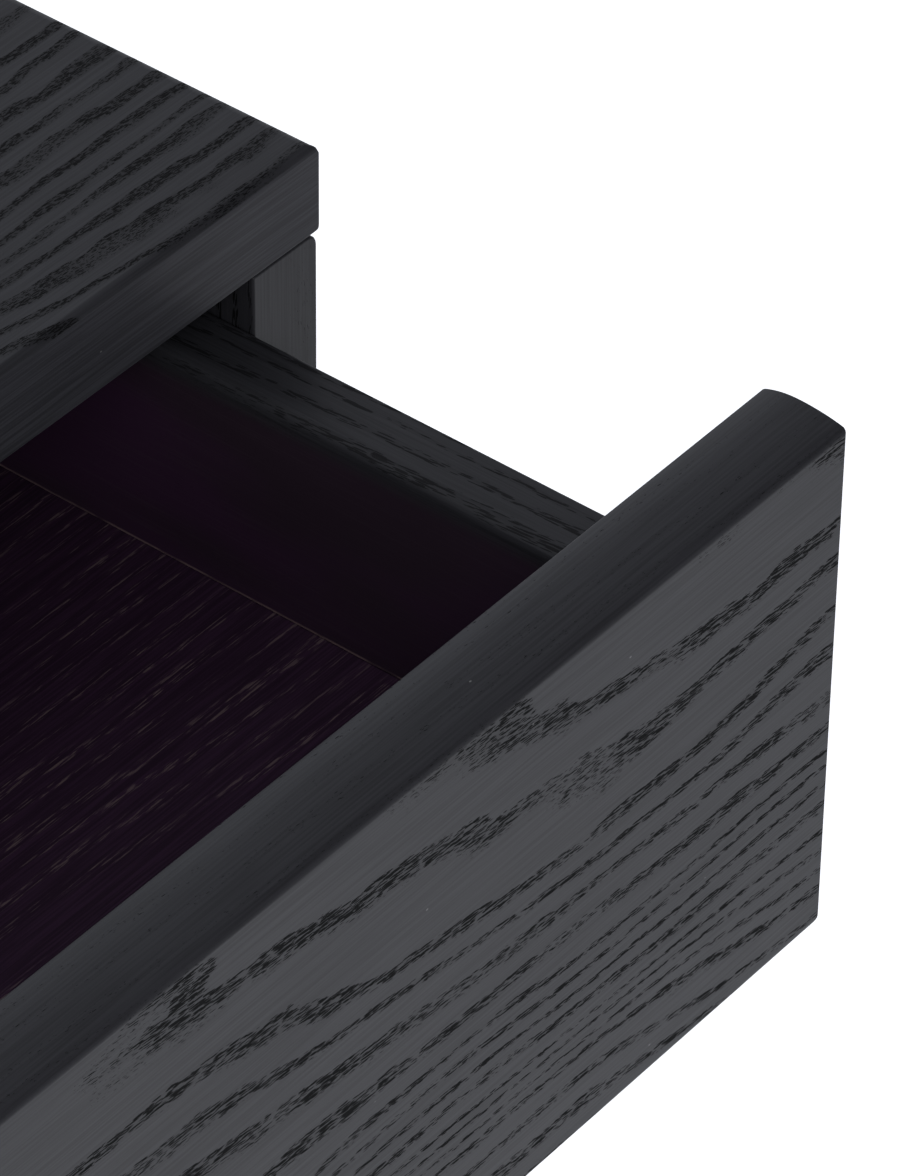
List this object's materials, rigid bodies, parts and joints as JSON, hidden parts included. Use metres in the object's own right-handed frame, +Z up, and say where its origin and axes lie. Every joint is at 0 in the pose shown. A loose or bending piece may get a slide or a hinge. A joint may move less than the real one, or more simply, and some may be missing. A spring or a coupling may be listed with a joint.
{
  "type": "console table",
  "caption": "Console table with a thick slab top on full-height end panels and side-by-side wooden drawers with thick overlay fronts, black stained open-pore wood",
  "frame": {"origin": "on the floor, at the middle of the ground that the table and its open right drawer cover together", "axes": "+X runs to the right along the table as seen from the front, +Y runs from the front to the back, +Z is up"},
  "size_m": [1.2, 0.5116, 0.76],
  "materials": {
    "black_stained_wood": "satin open-pore stain",
    "dark_inner_wood": "matt stain",
    "beech": "raw",
    "zinc_plated_steel": "zinc plated",
    "white_nylon": "matt",
    "black_plastic": "matt",
    "clear_rubber": "soft satin"
  },
  "bodies": {
    "table": {"top_slab": "black_stained_wood", "left_end_panel": "black_stained_wood", "right_end_panel": "black_stained_wood", "centre_divider": "dark_inner_wood", "bottom_board": "black_stained_wood", "back_panel": "black_stained_wood", "slab_dowels": "beech", "board_dowels": "beech", "cam_bolts": "zinc_plated_steel", "cam_discs": "zinc_plated_steel", "divider_screws": "zinc_plated_steel", "back_panel_screws": "zinc_plated_steel", "left_bay_left_runner": "dark_inner_wood", "left_bay_right_runner": "dark_inner_wood", "right_bay_left_runner": "dark_inner_wood", "right_bay_right_runner": "dark_inner_wood", "left_bay_left_kicker": "dark_inner_wood", "left_bay_right_kicker": "dark_inner_wood", "right_bay_left_kicker": "dark_inner_wood", "right_bay_right_kicker": "dark_inner_wood", "runner_glide_strips": "white_nylon", "runner_screws": "zinc_plated_steel", "kicker_screws": "zinc_plated_steel", "stop_blocks": "dark_inner_wood", "stop_block_screws": "zinc_plated_steel", "floor_glides": "black_plastic"},
    "left_drawer": {"left_drawer_front": "black_stained_wood", "left_drawer_box_front": "dark_inner_wood", "left_drawer_left_side": "dark_inner_wood", "left_drawer_right_side": "dark_inner_wood", "left_drawer_back": "dark_inner_wood", "left_drawer_bottom": "dark_inner_wood", "left_drawer_front_screws": "zinc_plated_steel", "left_drawer_box_dowels": "beech", "left_drawer_bottom_screws": "zinc_plated_steel", "left_drawer_stop_tab": "white_nylon", "left_drawer_tab_screws": "zinc_plated_steel", "left_drawer_bumpers": "clear_rubber"},
    "right_drawer": {"right_drawer_front": "black_stained_wood", "right_drawer_box_front": "dark_inner_wood", "right_drawer_left_side": "dark_inner_wood", "right_drawer_right_side": "dark_inner_wood", "right_drawer_back": "dark_inner_wood", "right_drawer_bottom": "dark_inner_wood", "right_drawer_front_screws": "zinc_plated_steel", "right_drawer_box_dowels": "beech", "right_drawer_bottom_screws": "zinc_plated_steel", "right_drawer_stop_tab": "white_nylon", "right_drawer_tab_screws": "zinc_plated_steel", "right_drawer_bumpers": "clear_rubber"}
  },
  "joints": [
    {"name": "left_drawer_slide", "type": "slide", "parent": "table", "child": "left_drawer", "axis": [0, -1, 0], "range_m": [0, 0.27]},
    {"name": "right_drawer_slide", "type": "slide", "parent": "table", "child": "right_drawer", "axis": [0, -1, 0], "range_m": [-0.11, 0.16]}
  ]
}
